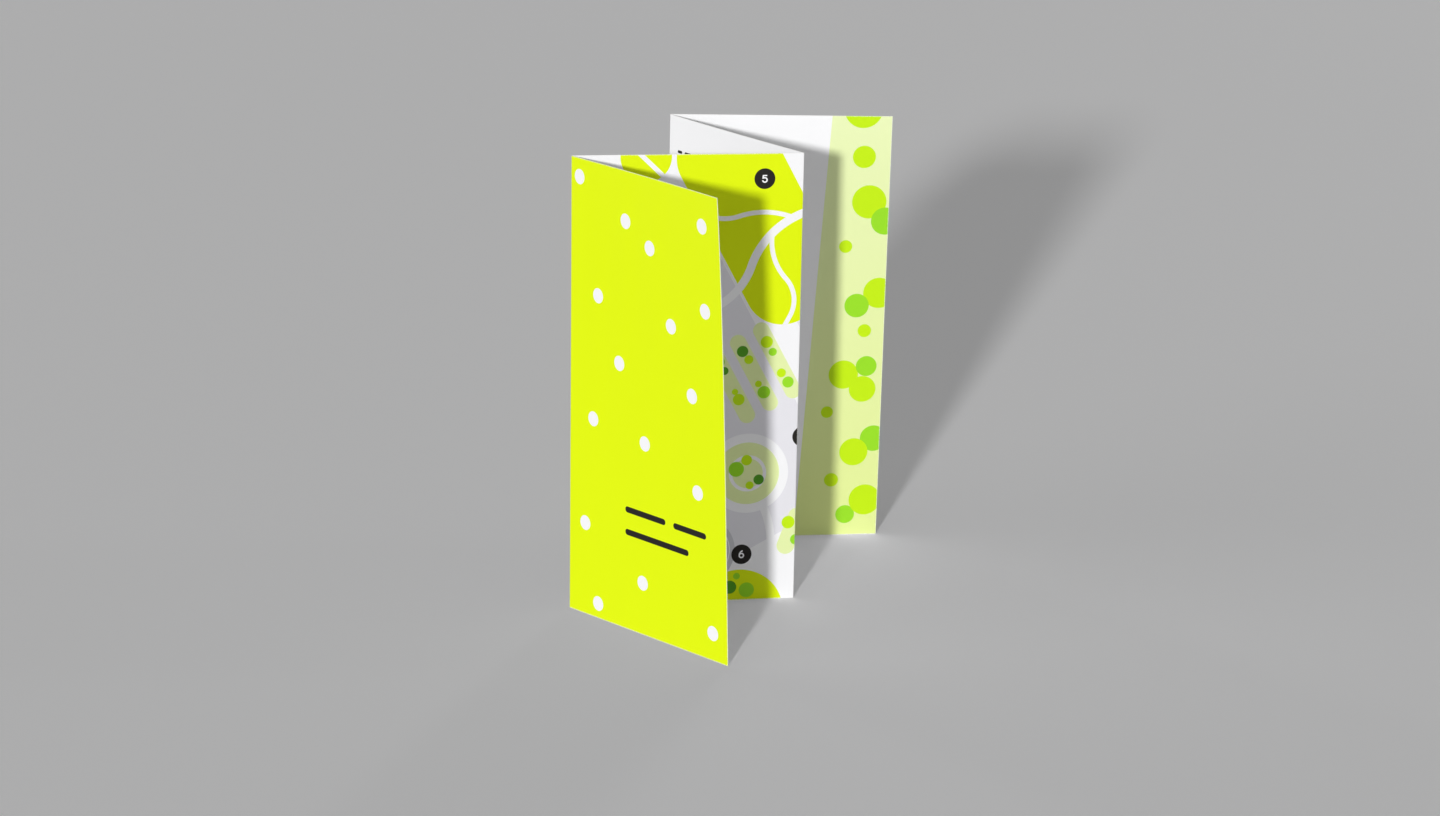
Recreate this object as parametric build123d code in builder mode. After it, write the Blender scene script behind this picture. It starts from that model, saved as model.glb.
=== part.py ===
from build123d import *
import math
import os

os.makedirs("parts", exist_ok=True)

# An accordion-fold brochure: one sheet of coated paper, scored and folded three times, one way and the other in
# turn, into four equal panels. It stands on its bottom edge. The row of panels runs along Y, cover first, the
# folds point to -X and +X in turn, and Z is up.

# Sheet
panel_width = 100.0
sheet_height = 200.0
stock_thickness = 0.16
fold_radius = 0.2  # on the hollow side of each fold

# Angle of each panel to the X axis, cover first. The paper springs a little out of its folds, so the free top
# edge lies otherwise than the bottom one.
foot_angles = (25.0, 31.8, 32.6, 29.4)
head_angles = (30.6, 29.4, 32.9, 23.5)

# How far the top edge of each panel bows, with a plus sign towards the outside of the folded brochure. The bottom
# edges stay straight.
head_bows = (-0.95, 0.0, 0.7, 0.0)

# The change from foot to head grows evenly with height, apart from this share of it, a curl near the top.
curl_share = 0.22
curl_power = 4
section_levels = (0.0, 0.4, 0.75, 1.0)


def spring(level):
    """Part of the change from foot to head that is reached at a level between 0, foot, and 1, head."""
    return (1 - curl_share) * level + curl_share * level**curl_power


def zigzag(level):
    """Corners of the sheet's inside face, from the cover's free edge to the last free edge."""
    corners = [Vector(0, 0)]
    for number, (foot, head) in enumerate(zip(foot_angles, head_angles)):
        angle = foot + (head - foot) * spring(level)
        heading = math.radians(angle if number % 2 else 180 - angle)
        corners.append(corners[-1] + Vector(math.cos(heading), math.sin(heading)) * panel_width)
    upright_fold = corners[2]  # the middle fold stands upright, and the others lean from it
    return [corner - upright_fold for corner in corners]


def sheet_section(level, centre):
    """Cross-section of the folded sheet at a level, with the row's centre at the origin."""
    corners = zigzag(level)
    with BuildSketch(Plane((-centre.X, -centre.Y, level * sheet_height))) as section:
        with BuildLine() as inside_face:
            for start, end, head_bow in zip(corners, corners[1:], head_bows):
                bow = head_bow * spring(level)
                if bow:
                    SagittaArc(start, end, bow)
                else:
                    Line(start, end)
            hollow_folds = inside_face.vertices().sort_by(Axis.Y)[1:-1:2]
            fillet(hollow_folds, radius=fold_radius)
            # this fold is hollow on the sheet's other face
            middle_fold = inside_face.vertices().sort_by(Axis.Y)[3]
            fillet(middle_fold, radius=fold_radius + stock_thickness)
            offset(amount=stock_thickness, side=Side.LEFT, closed=True)
        make_face()
    return section.sketch


def row_centre():
    """Middle of the ground that the folded sheet covers, measured from the middle fold."""
    outlines = [sheet_section(level, Vector(0, 0)).bounding_box() for level in section_levels]
    lowest = Vector(min(box.min.X for box in outlines), min(box.min.Y for box in outlines))
    highest = Vector(max(box.max.X for box in outlines), max(box.max.Y for box in outlines))
    return (lowest + highest) / 2


centre = row_centre()
with BuildPart() as folded_sheet:
    for level in section_levels:
        add(sheet_section(level, centre))
    loft()

folded_sheet.part.label = "folded_sheet"
export_step(folded_sheet.part, "parts/folded_sheet.step")
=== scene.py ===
import math

import bmesh
import bpy
from mathutils import Matrix, Vector


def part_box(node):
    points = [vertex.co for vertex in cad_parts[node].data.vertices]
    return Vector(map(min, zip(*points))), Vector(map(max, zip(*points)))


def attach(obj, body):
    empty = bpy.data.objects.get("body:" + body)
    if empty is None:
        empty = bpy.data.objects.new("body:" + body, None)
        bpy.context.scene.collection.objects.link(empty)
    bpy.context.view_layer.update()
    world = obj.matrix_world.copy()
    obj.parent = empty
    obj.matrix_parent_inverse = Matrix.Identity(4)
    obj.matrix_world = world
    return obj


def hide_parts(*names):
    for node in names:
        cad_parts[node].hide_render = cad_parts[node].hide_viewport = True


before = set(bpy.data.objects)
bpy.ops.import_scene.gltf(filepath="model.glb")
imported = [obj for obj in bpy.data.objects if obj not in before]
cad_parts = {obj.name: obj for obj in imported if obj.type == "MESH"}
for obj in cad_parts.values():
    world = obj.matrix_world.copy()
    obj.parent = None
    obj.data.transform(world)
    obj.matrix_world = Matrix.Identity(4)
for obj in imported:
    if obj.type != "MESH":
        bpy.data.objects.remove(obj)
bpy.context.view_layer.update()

mm = 0.001  # the brochure's sizes are in millimetres, and the scene is in metres

brochure = {
    "panelWidth": 100.0,
    "panels": 4,
    "height": 200.0,
    "thickness": 0.16,
    "foldRadius": 0.2,  # on the hollow side of each fold
    "footAngles": (25.0, 31.8, 32.6, 29.4),  # degrees between a panel and the X axis, cover first
    "headAngles": (30.6, 29.4, 32.9, 23.5),
    "headBows": (-0.95, 0.0, 0.7, 0.0),  # bulge of each panel's top edge, plus to the outside
    "curlShare": 0.22,  # part of the spring that comes near the top edge
    "curlPower": 4,
    "foldSpan": 0.6,  # paper on each side of a fold line that goes round the fold
    "foldCuts": (0.15, 0.3, 0.45, 0.6, 2.0),  # extra columns, measured from the fold line
    "cutSnap": 0.001,  # a cut goes through a point that is as near as this
    "columns": 80,
    "rows": 40,
}
flatWidth = brochure["panelWidth"] * brochure["panels"]

# The map holds both printed pages, each seen from its own side, with the cut edges in the gap between them.
pageMap = {
    "name": "OFBake",
    "span": 420.0,  # millimetres of paper along the whole map
    "margin": 10.0,
    "outsideFoot": 4.0,  # height on the map of each page's bottom edge
    "insideFoot": 216.0,
    "edgeStrips": {"foot": 206.0, "head": 208.6, "sides": 211.2},
    "edgeStripHeight": 1.6,
    "sideStarts": {-1: 10.0, 1: 210.0},  # where the strips of the two side edges begin
    "materials": {1: 0, -1: 1, 0: 2},  # inside page, outside page and cut edge, by the way a flat face looks
}


def spring(level):  # share of the change from foot to head that a height has reached
    share = brochure["curlShare"]
    return (1 - share) * level + share * level ** brochure["curlPower"]


def heading(angle):
    return Vector((math.cos(angle), math.sin(angle)))


def leftOf(angle):
    return Vector((-math.sin(angle), math.cos(angle)))


def bulge(bow, share):  # how far a bowed panel stands off its straight line, at a share of its width
    return 4 * bow * share * (1 - share)


def bulgeTurn(bow, share):  # how much the paper turns from that line there
    return 4 * bow * (1 - 2 * share) / brochure["panelWidth"]


def zigzag(level):  # corners of the inside face, and the direction and the bow of each panel
    corners, directions, bows = [Vector((0, 0))], [], []
    panels = zip(brochure["footAngles"], brochure["headAngles"], brochure["headBows"])
    for number, (foot, head, bow) in enumerate(panels):
        angle = foot + (head - foot) * spring(level)
        directions.append(math.radians(angle if number % 2 else 180 - angle))
        corners.append(corners[-1] + heading(directions[-1]) * brochure["panelWidth"])
        bows.append(bow * spring(level))
    uprightFold = corners[brochure["panels"] // 2]
    return [corner - uprightFold for corner in corners], directions, bows


def foldArc(fold, directions, bows):  # direction before the fold, turn, radius and length cut off each panel
    before = directions[fold - 1] + bulgeTurn(bows[fold - 1], 1)
    after = directions[fold] + bulgeTurn(bows[fold], 0)
    turn = (after - before + math.pi) % (2 * math.pi) - math.pi
    radius = brochure["foldRadius"] + (brochure["thickness"] if turn > 0 else 0)
    return before, turn, radius, radius * math.tan(abs(turn) / 2)


def aroundFold(fold, share, corners, directions, bows):  # place and direction, part of the way round a fold
    before, turn, radius, cutOff = foldArc(fold, directions, bows)
    swing = math.copysign(radius, turn)
    centre = corners[fold] - heading(before) * cutOff + leftOf(before) * swing
    facing = before + turn * share
    return centre - leftOf(facing) * swing, facing


def lostToFold(fold, directions, bows):  # what a fold takes of a panel: length of the zigzag, and paper
    if not 0 < fold < brochure["panels"]:
        return 0, 0
    *_, cutOff = foldArc(fold, directions, bows)
    return cutOff, brochure["foldSpan"]


def acrossPanel(panel, along, corners, directions, bows):  # place and direction on a panel between its folds
    width = brochure["panelWidth"]
    startCut, startSpan = lostToFold(panel, directions, bows)
    endCut, endSpan = lostToFold(panel + 1, directions, bows)
    paper = (along - startSpan) / (width - startSpan - endSpan)
    share = (startCut + paper * (width - startCut - endCut)) / width
    straight = corners[panel] + heading(directions[panel]) * share * width
    place = straight + leftOf(directions[panel]) * bulge(bows[panel], share)
    return place, directions[panel] + bulgeTurn(bows[panel], share)


def foldedPlace(along, level, depth):  # where a point of the flat sheet stands, seen from above
    width, span, shape = brochure["panelWidth"], brochure["foldSpan"], zigzag(level)
    fold = round(along / width)
    beyond = along - fold * width
    if 0 < fold < brochure["panels"] and abs(beyond) < span:
        place, facing = aroundFold(fold, (beyond + span) / (2 * span), *shape)
    else:
        panel = min(int(along / width), brochure["panels"] - 1)
        place, facing = acrossPanel(panel, along - panel * width, *shape)
    return place + leftOf(facing) * depth


def mapPlace(normal, along, up, depth):  # place on the map of a corner of the flat sheet, in millimetres
    sideways, endways, upwards = (round(part) for part in normal)
    if upwards > 0:
        return pageMap["margin"] + along, pageMap["insideFoot"] + up
    if upwards < 0:
        return pageMap["margin"] + flatWidth - along, pageMap["outsideFoot"] + up
    strips = pageMap["edgeStrips"]
    across = -depth / brochure["thickness"] * pageMap["edgeStripHeight"]
    if sideways:
        return pageMap["sideStarts"][sideways] + up, strips["sides"] + across
    return pageMap["margin"] + along, strips["head" if endways > 0 else "foot"] + across


def makeSlab():  # the cut sheet, lying flat with its inside up, and with more columns beside the fold lines
    bm = bmesh.new()
    bmesh.ops.create_grid(bm, x_segments=brochure["columns"], y_segments=brochure["rows"], size=0.5)
    bmesh.ops.scale(bm, vec=(flatWidth, brochure["height"], 1), verts=bm.verts)
    bmesh.ops.translate(bm, vec=(flatWidth / 2, brochure["height"] / 2, 0), verts=bm.verts)
    cuts = [place for distance in brochure["foldCuts"] for place in (-distance, distance)]
    snap, across = brochure["cutSnap"], (1, 0, 0)
    for fold in range(1, brochure["panels"]):
        for cut in cuts:
            whole = [*bm.verts, *bm.edges, *bm.faces]
            place = (fold * brochure["panelWidth"] + cut, 0, 0)
            bmesh.ops.bisect_plane(bm, geom=whole, dist=snap, plane_co=place, plane_no=across)
    grown = bmesh.ops.extrude_face_region(bm, geom=bm.faces[:])["geom"]
    outside = [part for part in grown if isinstance(part, bmesh.types.BMVert)]
    bmesh.ops.translate(bm, vec=(0, 0, -brochure["thickness"]), verts=outside)
    bmesh.ops.recalc_face_normals(bm, faces=bm.faces)
    print("flat sheet,", len(bm.verts), "points,", round(bm.calc_volume(signed=True)), "cubic millimetres")
    return bm


def mapPages(bm):  # gives each face its material and each corner its place on the map
    pages = bm.loops.layers.uv.new(pageMap["name"])
    for face in bm.faces:
        face.smooth = True
        face.material_index = pageMap["materials"][round(face.normal.z)]
        for loop in face.loops:
            place = mapPlace(face.normal, *loop.vert.co)
            loop[pages].uv = [length / pageMap["span"] for length in place]
    for edge in bm.edges:
        edge.smooth = edge.link_faces[0].material_index == edge.link_faces[1].material_index


def foldSlab(bm):  # folds the sheet and turns its millimetres into metres
    for point in bm.verts:
        along, up, depth = point.co
        place = foldedPlace(along, up / brochure["height"], -depth)
        point.co = (*place * mm, up * mm)


def finishedMesh(bm, name):
    mesh = bpy.data.meshes.new(name)
    bm.to_mesh(mesh)
    bm.free()
    return mesh


def addObject(name, data):
    made = bpy.data.objects.new(name, data)
    bpy.context.scene.collection.objects.link(made)
    return made


def makeSheet():
    bm = makeSlab()
    mapPages(bm)
    foldSlab(bm)
    mesh = finishedMesh(bm, "printedSheet")
    low = Vector(min(point.co[axis] for point in mesh.vertices) for axis in range(3))
    high = Vector(max(point.co[axis] for point in mesh.vertices) for axis in range(3))
    solidLow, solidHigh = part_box("folded_sheet")
    shift = (solidLow + solidHigh - low - high) / 2  # to the middle of the solid, and to its foot
    shift.z = solidLow.z - low.z
    mesh.transform(Matrix.Translation(shift))
    print("folded sheet,", high - low, "shifted by", shift)
    return addObject("printedSheet", mesh)


class Field:  # a socket that Python's own signs work on
    def __init__(self, shader, socket):
        self.shader, self.socket = shader, socket

    def math(self, operation, *others, clamp=False):
        settings = {"operation": operation, "use_clamp": clamp}
        return self.shader.node("ShaderNodeMath", settings, [self, *others])

    def vector(self, operation, *others, output="Vector"):
        return self.shader.node("ShaderNodeVectorMath", {"operation": operation}, [self, *others], output)

    def dot(self, direction):
        return self.vector("DOT_PRODUCT", direction, output="Value")

    def __add__(self, other):
        return self.math("ADD", other)

    __radd__ = __add__

    def __sub__(self, other):
        return self.math("SUBTRACT", other)

    def __rsub__(self, other):
        return self.shader.node("ShaderNodeMath", {"operation": "SUBTRACT"}, [other, self])

    def __mul__(self, other):
        return self.math("MULTIPLY", other)

    __rmul__ = __mul__


class Shader:  # the nodes of a material or of the world
    def __init__(self, owner):
        owner.use_nodes = True
        self.owner, self.tree = owner, owner.node_tree
        self.tree.nodes.clear()

    def node(self, kind, settings, sockets, output=0):
        made = self.tree.nodes.new(kind)
        for name, value in settings.items():
            setattr(made, name, value)
        for key, value in sockets.items() if isinstance(sockets, dict) else enumerate(sockets):
            if isinstance(value, Field):
                self.tree.links.new(value.socket, made.inputs[key])
            else:
                made.inputs[key].default_value = value
        return Field(self, made.outputs[output]) if made.outputs else None

    def mix(self, under, over, share):  # lays a colour over another, by the numbers of Mix's colour sockets
        return self.node("ShaderNodeMix", {"data_type": "RGBA"}, {0: share, 6: under, 7: over}, 2)

    def finish(self, kind, shading):
        self.node(kind, {}, {"Surface": shading})
        return self.owner


def screenColour(red, green, blue):  # a colour as a picture shows it, 0 to 255
    parts = [value / 255 for value in (red, green, blue)]
    return (*(part / 12.92 if part <= 0.04045 else ((part + 0.055) / 1.055) ** 2.4 for part in parts), 1)


inkColours = {
    "paper": screenColour(249, 249, 250),
    "core": screenColour(249, 249, 244),  # the bare stock, at cut edges and where ink has rubbed off
    "haze": screenColour(233, 232, 237),
    "lime": screenColour(231, 251, 0),
    "lawn": screenColour(228, 248, 0),
    "pale": screenColour(233, 246, 176),
    "paleFoot": screenColour(231, 245, 154),
    "paleHead": screenColour(236, 248, 188),
    "leafLime": screenColour(199, 241, 16),
    "leaf": screenColour(156, 226, 40),
    # a darker tree green, used only on trees that lie where the cover's shadow falls: real tree print, made
    # darker as painted shade
    "deep": screenColour(84, 158, 34),
    "black": screenColour(36, 33, 30),
    "grey": screenColour(96, 96, 100),
    "step": screenColour(206, 206, 211),
}
inkEdge = 0.12  # softness of a printed edge, in millimetres
legLap = 0.3  # a path's curved legs run on by so many millimetres, so that no gap shows between them


# Shapes on a page: each gives the distance to its outline in millimetres, with a minus sign inside.
def union(*shapes):
    total = shapes[0]
    for shape in shapes[1:]:
        total = total.math("MINIMUM", shape)
    return total


def common(*shapes):
    total = shapes[0]
    for shape in shapes[1:]:
        total = total.math("MAXIMUM", shape)
    return total


def without(shape, hole):
    return common(shape, 0 - hole)


def disc(page, x, y, radius):
    return page.vector("DISTANCE", (x, y, 0), output="Value") - radius


def discs(page, *places):
    return union(*(disc(page, *place) for place in places))


def ring(page, x, y, radius, width):
    return disc(page, x, y, radius).math("ABSOLUTE") - width / 2


def rings(page, x, y, width, *radii):
    return union(*(ring(page, x, y, radius, width) for radius in radii))


def block(page, x, y, width, height, turn=0.0, corner=0.0):
    place = {"Vector": page, "Location": (x, y, 0), "Rotation": (0, 0, math.radians(turn))}
    rounded = max(corner, inkEdge)
    turned = page.shader.node("ShaderNodeMapping", {"vector_type": "TEXTURE"}, place).vector("ABSOLUTE")
    beyond = turned.vector("SUBTRACT", (width / 2 - rounded, height / 2 - rounded, 0))
    return beyond.vector("MAXIMUM", (0, 0, 0)).vector("LENGTH", output="Value") - rounded


def stroke(page, x0, y0, x1, y1, width):
    turn = math.degrees(math.atan2(y1 - y0, x1 - x0))
    length = math.hypot(x1 - x0, y1 - y0) + width
    return block(page, (x0 + x1) / 2, (y0 + y1) / 2, length, width, turn, width / 2)


def bar(page, left, right, y, height):  # a level stroke that ends at left and right
    return stroke(page, left + height / 2, y, right - height / 2, y, height)


def side(page, x, y, turn):  # all that lies to the right of a line through a point
    angle = math.radians(turn)
    away = (-math.sin(angle), math.cos(angle), 0)
    return page.dot(away) - (x * away[0] + y * away[1])


def bend(page, x, y, radius, width, start, end):  # part of a ring between two directions from its centre
    ends = side(page, x, y, start + 180) - legLap, side(page, x, y, end) - legLap
    return common(ring(page, x, y, radius, width), *ends)


def onward(x, y, direction, length):
    angle = math.radians(direction)
    return x + length * math.cos(angle), y + length * math.sin(angle)


def trail(page, x, y, facing, width, *legs):  # a path of legs, each with a length and a turn to the left
    shapes = []
    for length, turn in legs:
        if turn:
            radius, start = length / math.radians(abs(turn)), facing - math.copysign(90, turn)
            centre = onward(x, y, start + 180, radius)
            shapes.append(bend(page, *centre, radius, width, *sorted((start, start + turn))))
            x, y = onward(*centre, start + turn, radius)
        else:
            end = onward(x, y, facing, length)
            shapes.append(stroke(page, x, y, *end, width))
            x, y = end
        facing += turn
    return union(*shapes)


def brokenRing(page, x, y, radius, width, gap):
    return without(ring(page, x, y, radius, width), block(page, *gap))


def digit(page, x, y, parts):  # a number whose parts are measured from its middle
    middle = page.vector("SUBTRACT", (x, y, 0))
    return union(*(shape(middle, *numbers) for shape, *numbers in parts))


def ink(shape):  # how much of a spot the shape covers
    return shape.math("MULTIPLY_ADD", -1 / inkEdge, 0.5, clamp=True)


def paint(shader, page, colour, layers):
    for ground, shape, *numbers in layers:
        colour = shader.mix(colour, inkColours[ground], ink(shape(page, *numbers)))
    return colour


# Outside page. The cover is its right quarter, and the back cover its left one.
coverPrint = {
    "left": flatWidth - brochure["panelWidth"],
    "dotRadius": 3.25,
    "dots": (  # from the fold and the bottom edge
        (6, 192), (37, 178.5), (88.5, 186), (53, 170), (18.5, 143), (89, 150.5), (66.5, 139.5), (32.5, 116.5),
        (79.5, 112.5), (15.5, 88.5), (49, 85), (82.5, 71.5), (10.5, 41), (47.5, 23), (19, 6.5), (91, 12),
    ),
    "bars": ((36.5, 62, 53.5), (67, 87.5, 53.5), (36.5, 76.5, 43.5)),  # left end, right end and height
    "barHeight": 2.7,
}
textPrint = {
    "left": 107.0,
    "headBars": ((107, 110.5, 184.2), (112.5, 121, 184.2), (123, 127, 184.2), (129, 139.5, 184.2)),
    "headBarHeight": 1.3,
    "lines": (72, 76, 70, 75, 71, 44),  # lengths, top line first
    "firstLine": 176.0,
    "lineStep": 3.9,
    "lineHeight": 1.0,
}


def bothCovers(page):
    return union(side(page, coverPrint["left"], 0, 90), side(page, brochure["panelWidth"], 0, -90))


def textLines(page):
    left, lines = textPrint["left"], []
    for number, length in enumerate(textPrint["lines"]):
        height = textPrint["firstLine"] - number * textPrint["lineStep"]
        lines.append(bar(page, left, left + length, height, textPrint["lineHeight"]))
    return union(*lines)


def paintOutside(shader, page):
    fold = coverPrint["left"]
    thick, thin = coverPrint["barHeight"], textPrint["headBarHeight"]
    dots = discs(page, *((fold + x, y, coverPrint["dotRadius"]) for x, y in coverPrint["dots"]))
    bars = [bar(page, fold + left, fold + right, y, thick) for left, right, y in coverPrint["bars"]]
    bars += [bar(page, left, right, y, thin) for left, right, y in textPrint["headBars"]]
    colour = shader.mix(inkColours["paper"], inkColours["lime"], ink(bothCovers(page)))
    colour = shader.mix(colour, inkColours["paper"], ink(dots))
    colour = shader.mix(colour, inkColours["black"], ink(union(*bars)))
    return shader.mix(colour, inkColours["grey"], ink(textLines(page)))


# Inside page: a made-up garden plan in flat colours. Each layer is an ink, a shape and its measures.
plotTurn = 28  # degrees by which most lawns and beds are turned
gardenGround = (
    ("haze", block, 104, 66, 190, 146, plotTurn, 10),
    ("haze", block, 211, 121, 18, 52, plotTurn, 3),
    ("lawn", block, 181, 172, 43, 98, plotTurn, 17),
    ("lawn", disc, 132, 199, 11),
    ("lawn", block, 72, 92, 34, 92, plotTurn, 7),
    ("paper", ring, 72, 92, 12, 2.6),
    ("pale", block, 26, 168, 34, 60, plotTurn, 2),
    ("pale", block, 26, 92, 24, 78, plotTurn, 2),
    ("pale", block, 112, 128, 24, 66, plotTurn, 2),
    ("pale", block, 126, 44, 22, 60, plotTurn, 2),
    ("pale", block, 156.5, 152, 12, 22, plotTurn, 6),
    *(("pale", block, 170 + 10 * number, 98 + 5.3 * number, 7.2, 38, plotTurn, 3.6) for number in range(3)),
    ("paper", disc, 178, 58, 18),
    ("pale", disc, 178, 58, 14),
    ("paper", ring, 178, 58, 7.5, 1.5),
    ("paper", trail, 184, 45, -62, 3.6, (22, -30), (20, 40), (14, 0)),
    ("pale", block, 198, 31, 8, 22, -20, 4),
    ("step", disc, 157, 23, 16),
    ("lawn", disc, 175, -6, 20),
    ("pale", block, 262, 120, 62, 116, plotTurn, 8),
    ("lawn", disc, 258, 126, 21),
    ("paper", ring, 258, 126, 25, 3),
    ("haze", block, 286, 22, 76, 26, plotTurn, 3),
    ("paper", trail, 236, 206, 262, 3.6, (45.2, -72), (40, 62), (25.1, -48), (84, 0)),
    ("paper", trail, 195.6, 171.9, 158, 2.0, (24, 40), (20, -62), (38, 0)),
    ("paper", trail, 186.8, 165.4, 262, 2.0, (22, 50), (18, -70), (6, 0)),
    ("paper", rings, 157, 23, 0.45, 7.0, 9.2, 11.4, 13.6),
)
gardenTrees = (
    ("leaf", discs, (155, 156, 3.6), (164.5, 108.5, 2.6), (184.5, 94.5, 2.8), (195, 98.8, 2.5)),
    ("leaf", discs, (173, 60, 3.4), (200, 27, 2.4), (188, 112.5, 1.8)),
    # these trees lie where the cover's shadow falls on the second panel, and their darker green is painted
    # shade
    ("deep", discs, (158.5, 152, 2.7), (167, 104.5, 1.8), (174.8, 113, 2.5), (183, 55, 2.3), (171, 6, 3.0)),
    ("leafLime", discs, (159.5, 146.5, 2.1), (173.5, 91.5, 2.6), (177.6, 109.3, 2.0), (185.3, 117, 2.7)),
    ("leafLime", discs, (192, 103, 2.0), (182, 98.3, 1.5), (171.8, 95, 1.4), (177.5, 64, 2.4)),
    ("leafLime", discs, (179, 52.5, 1.8), (196.5, 35, 2.9), (130, 36, 3.4), (106, 146, 3.6)),
    ("leafLime", discs, (118, 116, 4.4), (27, 174, 4.0), (28, 66, 3.4), (22, 106, 4.6)),
    ("leaf", discs, (178.5, 4.5, 3.4), (174, 11, 1.5), (136, 28, 2.6), (125, 50, 4.0), (110, 138, 2.6)),
    ("leaf", discs, (66, 112, 4.6), (82, 74, 3.4), (18, 180, 5.6), (36, 152, 3.6), (34, 74, 5.0)),
    ("leaf", discs, (16, 116, 3.2), (240, 150, 5.4), (274, 84, 6.4), (286, 100, 3.6)),
    ("leafLime", discs, (232, 158, 3.4), (284, 90, 4.4), (254, 168, 6.0), (246, 92, 4.2)),
)
treeStrip = {"headEdge": 373.0, "turn": 86.6}  # left edge of the last panel's pale strip, and its slope
stripTrees = (
    ("leafLime", discs, (387, 203, 8.6), (388, 181, 5.2), (391, 160, 7.8), (381, 139, 3.0), (397, 117, 7.2)),
    ("leafLime", discs, (382, 78, 6.8), (391, 71, 6.2)),
    ("leaf", discs, (398.5, 151, 6.4), (387, 111, 5.6), (392.5, 82, 4.8), (397, 47, 6.2), (385, 10, 4.4)),
    ("leafLime", discs, (388, 40.5, 6.6), (391, 99, 3.1), (375, 60, 2.8), (378, 27, 3.3), (394, 17, 7.4)),
)
numberOne = ((stroke, 0, -1.4, 0, 1.4, 0.6), (stroke, 0, 1.4, -0.7, 0.8, 0.55))
numberFive = (
    (brokenRing, 0, -0.55, 0.95, 0.6, (-0.9, -0.3, 1.2, 0.8)),
    (stroke, -0.7, 1.35, 0.75, 1.35, 0.55),
    (stroke, -0.7, 1.3, -0.8, 0.2, 0.55),
)
numberSix = ((ring, 0, -0.55, 0.95, 0.6), (bend, 1.35, -0.5, 2.3, 0.6, 118, 180))
gardenMarkers = (
    ("black", discs, (183, 189, 4.5), (176, 21, 4.5), (202, 74, 4.5)),
    ("paper", digit, 183, 189, numberFive),
    ("paper", digit, 176, 21, numberSix),
    ("paper", digit, 203.6, 74, numberOne),
)


def paintInside(shader, page):
    level = page.dot((0, 1 / brochure["height"], 0))
    field = shader.mix(inkColours["paleFoot"], inkColours["paleHead"], level)
    strip = side(page, treeStrip["headEdge"], brochure["height"], treeStrip["turn"])
    colour = shader.mix(inkColours["paper"], field, ink(strip))
    return paint(shader, page, colour, gardenGround + gardenTrees + stripTrees + gardenMarkers)


paperFinish = {
    "fibre": {"Scale": 2.2, "Detail": 3.0},  # grain of the stock, to the millimetre
    "fibreBump": {"Strength": 0.2, "Distance": 0.02 * mm},
    "cockle": {"Scale": 1.0, "Detail": 1.0},  # slight waves of the paper, longer up the page than along it
    "cockleStretch": (0.05, 0.014, 1),
    "cockleBump": {"Strength": 0.5, "Distance": 0.4 * mm},
    "wornWidth": 0.4,  # ink has rubbed off this near to a cut edge or a ridge
    "wornPatches": (3.0, -0.9),  # contrast and offset that make patches of the fibre
    "insideRidges": (2,),  # folds that stand out on each page, counted from its left edge
    "outsideRidges": (1, 3),
    "roughness": 0.42,
    "fibreRoughness": 0.16,
    "gloss": 0.15,
    "thrownByInside": (0.88, 0.88, 0.88, 1),  # the paper's colour in the light that it throws on other things
    "thrownByOutside": (0.5, 0.5, 0.5, 1),
    "thrownByCovers": (0.3, 0.3, 0.3, 1),
}


def wornEdge(page, ridges):  # where ink has rubbed off at the cut edges and on the ridges of folds
    middle = (flatWidth / 2, brochure["height"] / 2, 0)
    inward = page.vector("SUBTRACT", middle).vector("ABSOLUTE").vector("MULTIPLY_ADD", (-1, -1, 0), middle)
    along = page.dot((1, 0, 0))
    folds = ((along - ridge * brochure["panelWidth"]).math("ABSOLUTE") for ridge in ridges)
    distance = union(inward.dot((1, 0, 0)), inward.dot((0, 1, 0)), *folds)
    return distance.math("MULTIPLY_ADD", -1 / paperFinish["wornWidth"], 1, clamp=True)


def thrownInside(shader, page):
    return paperFinish["thrownByInside"]


def thrownOutside(shader, page):
    return shader.mix(paperFinish["thrownByOutside"], paperFinish["thrownByCovers"], ink(bothCovers(page)))


def noise(shader, place, settings):
    return shader.node("ShaderNodeTexNoise", {"noise_dimensions": "2D"}, {"Vector": place, **settings})


def paperBump(shader, page, fibre):
    cockle = noise(shader, page.vector("MULTIPLY", paperFinish["cockleStretch"]), paperFinish["cockle"])
    fine = shader.node("ShaderNodeBump", {}, {**paperFinish["fibreBump"], "Height": fibre})
    return shader.node("ShaderNodeBump", {}, {**paperFinish["cockleBump"], "Height": cockle, "Normal": fine})


def printedColour(shader, page, fibre, printPage, throwLight, ridges):
    worn = wornEdge(page, ridges) * fibre.math("MULTIPLY_ADD", *paperFinish["wornPatches"], clamp=True)
    colour = shader.mix(printPage(shader, page), inkColours["core"], worn)
    thrown = shader.node("ShaderNodeLightPath", {}, {}, "Is Diffuse Ray")  # the print doesn't tint the floor
    return shader.mix(colour, throwLight(shader, page), thrown)


def paperMaterial(name, foot, *printing):  # paper without printing is bare stock
    shader = Shader(bpy.data.materials.new(name))
    onMap = shader.node("ShaderNodeUVMap", {"uv_map": pageMap["name"]}, {})
    corner = (-pageMap["margin"], -foot, 0)
    page = onMap.vector("MULTIPLY_ADD", (pageMap["span"], pageMap["span"], 0), corner)
    fibre = noise(shader, page, paperFinish["fibre"])
    sockets = {
        "Base Color": printedColour(shader, page, fibre, *printing) if printing else inkColours["core"],
        "Roughness": paperFinish["roughness"] + paperFinish["fibreRoughness"] * fibre,
        "Specular IOR Level": paperFinish["gloss"],
        "Normal": paperBump(shader, page, fibre),
    }
    return shader.finish("ShaderNodeOutputMaterial", shader.node("ShaderNodeBsdfPrincipled", {}, sockets))


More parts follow.
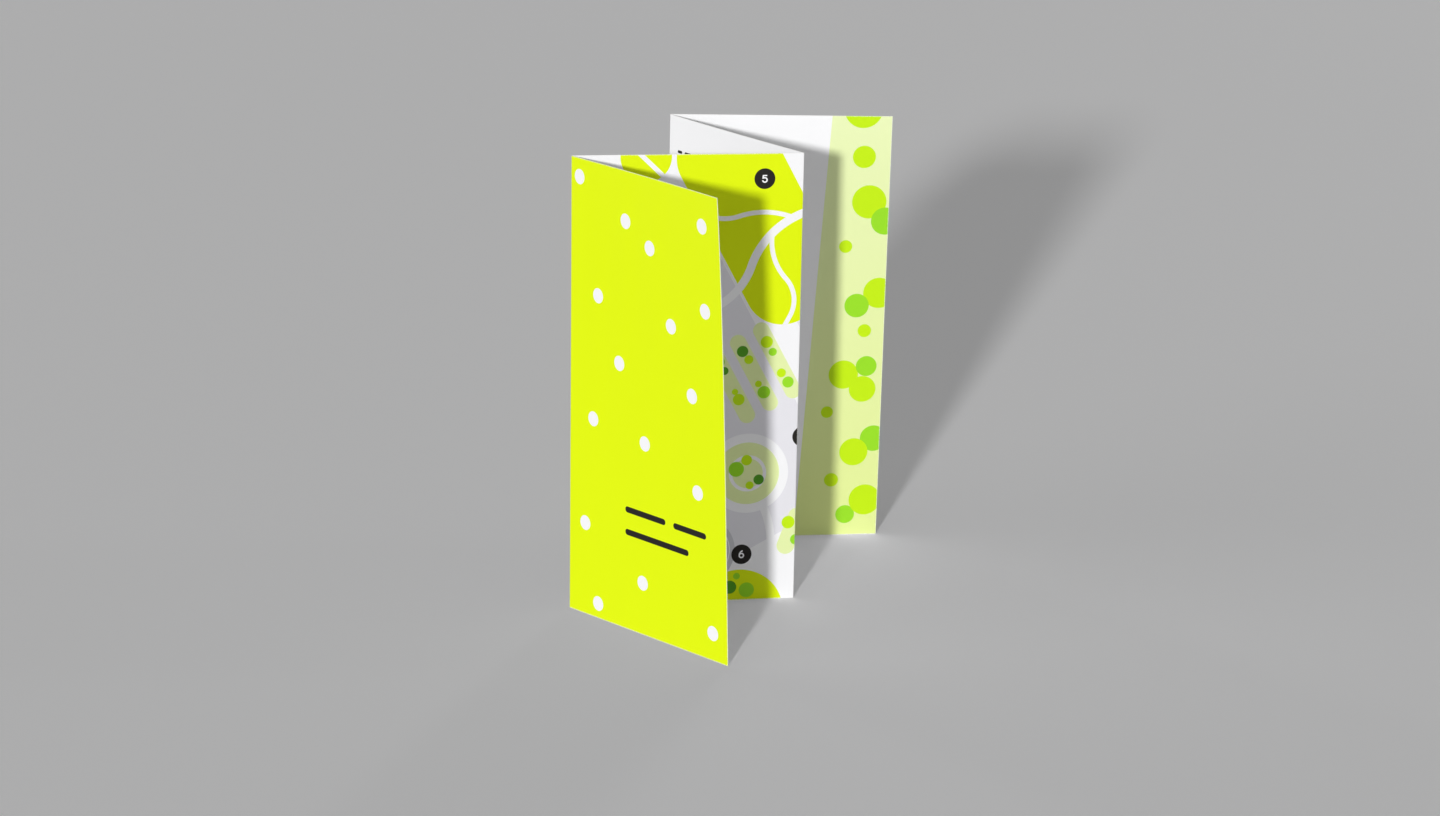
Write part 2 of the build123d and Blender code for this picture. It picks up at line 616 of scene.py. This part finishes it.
sheet = makeSheet()
for name, *look in (
    ("printInside", pageMap["insideFoot"], paintInside, thrownInside, paperFinish["insideRidges"]),
    ("printOutside", pageMap["outsideFoot"], paintOutside, thrownOutside, paperFinish["outsideRidges"]),
    ("cutEdge", 0),
):
    material = paperMaterial(name, *look)
    sheet.data.materials.append(material)
    print(name, "has", len(material.node_tree.nodes), "nodes")
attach(sheet, "root")
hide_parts("folded_sheet")

studio = {
    "floorSize": 60.0,  # metres
    "floorFinish": {"Base Color": (0.985, 0.985, 0.99, 1), "Roughness": 0.9, "Specular IOR Level": 0.1},
    "worldLight": 0.235,
    "background": 0.45,
    "lamps": (  # direction towards the lamp, strength, and degrees across, which soften its shadows
        ("key", (0.144, -0.973, 0.2), 2.22, 3.4),
        ("fill", (-0.62, -0.76, 0.16), 0.38, 40.0),
        ("back", (-0.05, 0.99, 0.012), 1.8, 6.0),
        ("left", (-0.88, 0.45, 0.012), 1.1, 6.0),
        ("right", (0.88, 0.45, 0.012), 0.6, 6.0),
    ),
    "lampDistance": 3.0,
}


def makeFloor():
    bm = bmesh.new()
    bmesh.ops.create_grid(bm, x_segments=1, y_segments=1, size=studio["floorSize"] / 2)
    floor = addObject("floor", finishedMesh(bm, "floor"))
    shader = Shader(bpy.data.materials.new("floorPaint"))
    shading = shader.node("ShaderNodeBsdfPrincipled", {}, studio["floorFinish"])
    floor.data.materials.append(shader.finish("ShaderNodeOutputMaterial", shading))


def makeWorld():  # soft light from all sides, behind a background of its own brightness
    shader = Shader(bpy.data.worlds.new("studio"))
    rays = ("Is Camera Ray", "Is Glossy Ray", "Is Transmission Ray")
    camera, glossy, through = (shader.node("ShaderNodeLightPath", {}, {}, ray) for ray in rays)
    seen = camera.math("MAXIMUM", glossy).math("MAXIMUM", through)
    strength = seen * studio["background"] + (1 - seen) * studio["worldLight"]
    shading = shader.node("ShaderNodeBackground", {}, {"Color": (1, 1, 1, 1), "Strength": strength})
    bpy.context.scene.world = shader.finish("ShaderNodeOutputWorld", shading)


def makeLamps():  # the level ones light the panels, and leave the shadow on the floor as it is
    for name, direction, strength, across in studio["lamps"]:
        lamp = bpy.data.lights.new(name, "SUN")
        lamp.energy, lamp.angle = strength, math.radians(across)
        stand = addObject(name, lamp)
        towards = Vector(direction).normalized()
        stand.location = towards * studio["lampDistance"]
        stand.rotation_mode = "QUATERNION"
        stand.rotation_quaternion = towards.to_track_quat("Z", "Y")


photoCamera = {
    "place": (0.543673, -1.409915, 0.5072),  # metres
    "turn": 21.0,  # degrees to the left of +Y
    "tilt": 15.72,  # degrees down
    "roll": 1.07,
    "lens": 89.25,
    "sensor": 36.0,
    "clip": (0.05, 200.0),
}


def makeCamera():
    data = bpy.data.cameras.new("photoCamera")
    data.lens, data.sensor_width = photoCamera["lens"], photoCamera["sensor"]
    data.clip_start, data.clip_end = photoCamera["clip"]
    turn = Matrix.Rotation(math.radians(photoCamera["turn"]), 4, "Z")
    tilt = Matrix.Rotation(math.radians(90 - photoCamera["tilt"]), 4, "X")
    roll = Matrix.Rotation(math.radians(photoCamera["roll"]), 4, "Z")
    camera = addObject("photoCamera", data)
    camera.matrix_world = Matrix.Translation(photoCamera["place"]) @ turn @ tilt @ roll
    bpy.context.scene.camera = camera


makeFloor()
makeWorld()
makeLamps()
makeCamera()
bpy.context.scene.view_settings.view_transform = "Standard"
print("studio ready")
